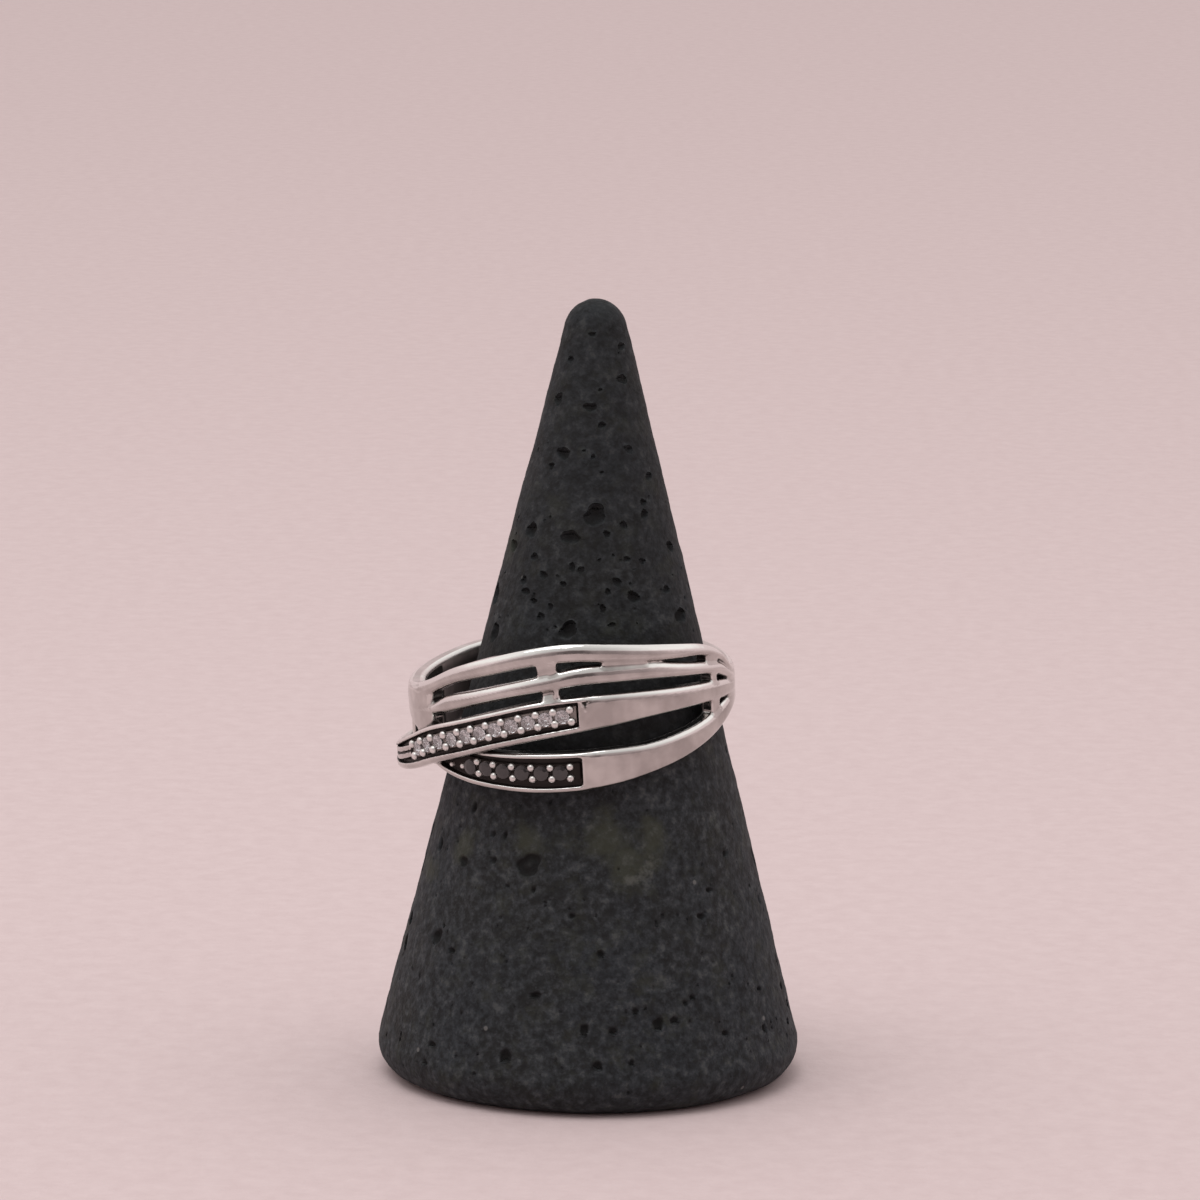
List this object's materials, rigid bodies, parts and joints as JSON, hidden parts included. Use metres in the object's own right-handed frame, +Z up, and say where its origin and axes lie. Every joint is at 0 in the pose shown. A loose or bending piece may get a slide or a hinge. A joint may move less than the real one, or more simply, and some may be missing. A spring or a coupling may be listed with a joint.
{
  "type": "crossover ring on a cone stand",
  "caption": "Crossover finger ring of plain rails and stone-set bands that cross and join in a plain shank, hanging on a pointed stone cone.",
  "frame": {"origin": "middle of the cone's flat foot, on the surface that it stands on", "axes": "+Z up along the cone's axis, -Y towards the front of the ring, +X to the right of the front view"},
  "size_m": [0.0259, 0.026, 0.0479],
  "materials": {
    "silver": "polished silver, darkened in its recesses",
    "clear_stone": "small clear faceted stones between silver beads",
    "black_stone": "small black faceted stones between silver beads",
    "cone_stone": "dull dark grey stone with open pores"
  },
  "bodies": {
    "root": {"ring_body": "silver", "crossing_band_pave": "clear_stone", "lower_band_pave": "black_stone", "cone_stand": "cone_stone"}
  },
  "joints": []
}
